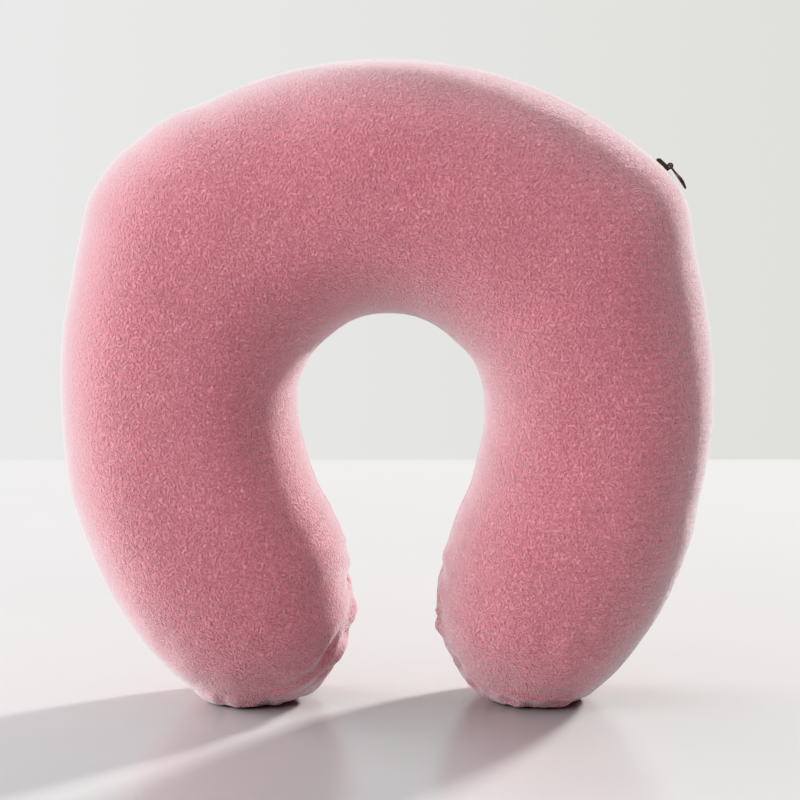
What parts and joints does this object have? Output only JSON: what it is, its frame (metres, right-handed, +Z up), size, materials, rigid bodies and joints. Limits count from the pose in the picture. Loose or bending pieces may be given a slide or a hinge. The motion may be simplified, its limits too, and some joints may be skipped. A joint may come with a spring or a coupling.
{
  "type": "u-shaped neck pillow",
  "caption": "U-shaped travel neck pillow: one-piece foam core in a sewn liner, inside a removable knitted-fleece cover with a concealed zip along the top rim.",
  "frame": {"origin": "on the floor midway between the two arm ends, in the seam plane between the front and back panels", "axes": "+Z up, from the arm ends to the top of the outer rim; +X from the left arm to the right arm seen from the front; the front panel faces -Y, so +Y runs through the thickness to the back panel"},
  "size_m": [0.3002, 0.0964, 0.2958],
  "materials": {
    "foam": "matte",
    "liner": "matte",
    "cover_fleece": "matte",
    "thread": "satin",
    "label": "satin",
    "zip_tape": "matte",
    "zip_coil": "satin",
    "zip_metal": "satin",
    "zip_pull": "gloss"
  },
  "bodies": {
    "pillow": {"foam_core": "foam", "liner_front_panel": "liner", "liner_back_panel": "liner", "liner_seam_thread": "thread", "cover_front_panel": "cover_fleece", "cover_back_panel": "cover_fleece", "cover_seam_thread": "thread", "care_label": "label", "zip_tape_front": "zip_tape", "zip_tape_back": "zip_tape", "zip_coil_front": "zip_coil", "zip_coil_back": "zip_coil", "zip_tape_stitches": "thread", "zip_top_stops": "zip_metal", "zip_bottom_stop": "zip_metal", "zip_bar_tacks": "thread"},
    "zip_slider": {"zip_slider_body": "zip_metal"},
    "pull_tab": {"zip_pull_tab": "zip_pull"}
  },
  "joints": [
    {"name": "zip_travel", "type": "hinge", "parent": "pillow", "child": "zip_slider", "pos_m": [0, 0, 0.1112], "axis": [0, -1, 0], "range_deg": [0, 65]},
    {"name": "tab_swing", "type": "hinge", "parent": "zip_slider", "child": "pull_tab", "pos_m": [0.12896, 0, 0.24761], "axis": [0, -1, 0], "range_deg": [0, 180]}
  ]
}
